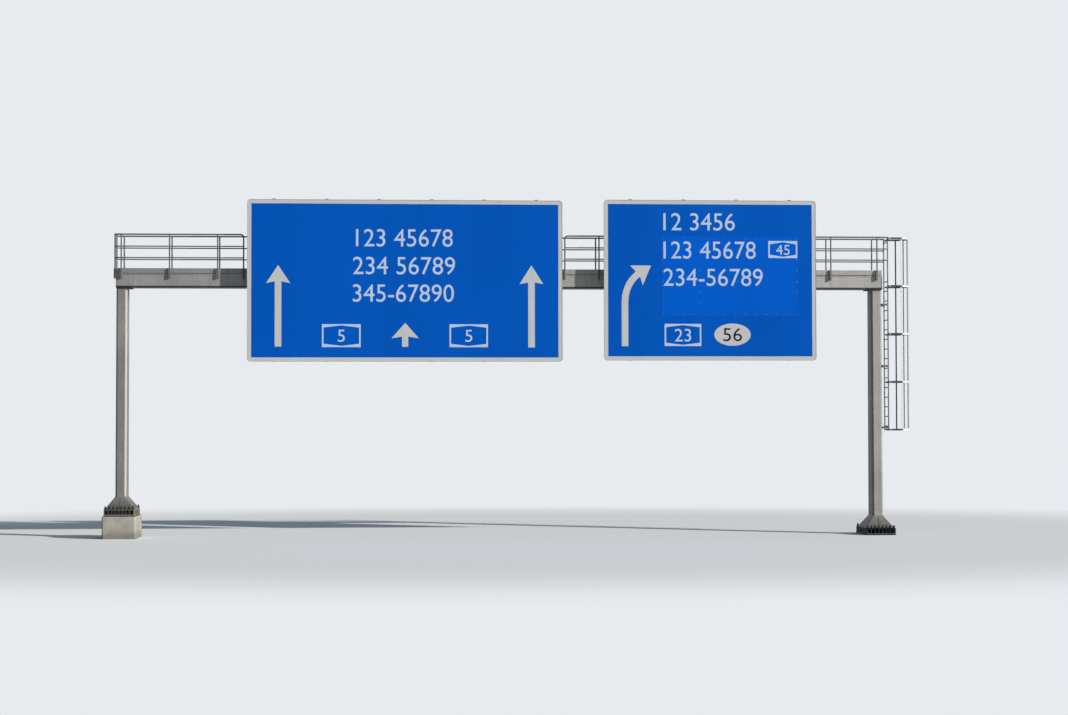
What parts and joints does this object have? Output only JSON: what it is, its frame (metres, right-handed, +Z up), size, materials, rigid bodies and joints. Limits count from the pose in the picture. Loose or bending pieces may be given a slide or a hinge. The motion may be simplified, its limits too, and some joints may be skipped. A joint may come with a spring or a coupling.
{
  "type": "overhead road sign gantry",
  "caption": "Steel box-girder sign gantry over a road, with a railed walkway, hung blue sign boards and a caged access ladder.",
  "frame": {"origin": "middle of the right foot's underside, at ground level", "axes": "+X along the girder from the left column to the right one, +Y from the signed face to the rear, +Z up"},
  "size_m": [23.128, 1.546, 9.625],
  "materials": {
    "painted_steel": "weathered grey paint",
    "galvanised": "dull galvanised",
    "foot_steel": "dark weathered coating",
    "deck_steel": "galvanised grating",
    "sign_aluminium": "mill finish",
    "sign_blue": "retroreflective sheeting",
    "overlay_blue": "retroreflective sheeting",
    "concrete": "weathered concrete"
  },
  "bodies": {
    "root": {"left_pedestal": "concrete", "left_base_plate": "foot_steel", "right_base_plate": "foot_steel", "left_anchor_chair": "foot_steel", "right_anchor_chair": "foot_steel", "left_foot_skirt": "painted_steel", "right_foot_skirt": "painted_steel", "left_column": "painted_steel", "right_column": "painted_steel", "access_covers": "galvanised", "head_plates": "painted_steel", "girder": "painted_steel", "left_corner_box": "painted_steel", "right_corner_box": "painted_steel", "end_plates": "painted_steel", "walkway_deck": "deck_steel", "rear_toe_board": "galvanised", "front_toe_board": "galvanised", "end_toe_board": "galvanised", "rear_railing": "galvanised", "front_railing_left": "galvanised", "front_railing_middle": "galvanised", "front_railing_right": "galvanised", "left_end_railing": "galvanised", "ladder_returns": "galvanised", "rear_rail_brackets": "painted_steel", "front_rail_brackets": "painted_steel", "end_rail_brackets": "painted_steel", "large_sign_sheet": "sign_blue", "large_sign_rim": "sign_aluminium", "large_sign_channels": "sign_aluminium", "large_sign_uprights": "galvanised", "large_sign_arms": "painted_steel", "small_sign_sheet": "sign_blue", "small_sign_rim": "sign_aluminium", "small_sign_channels": "sign_aluminium", "small_sign_uprights": "galvanised", "small_sign_arms": "painted_steel", "small_sign_overlay": "overlay_blue", "ladder_stiles": "galvanised", "ladder_rungs": "galvanised", "ladder_brackets": "galvanised", "cage_hoops": "galvanised", "cage_bars": "galvanised"}
  },
  "joints": []
}
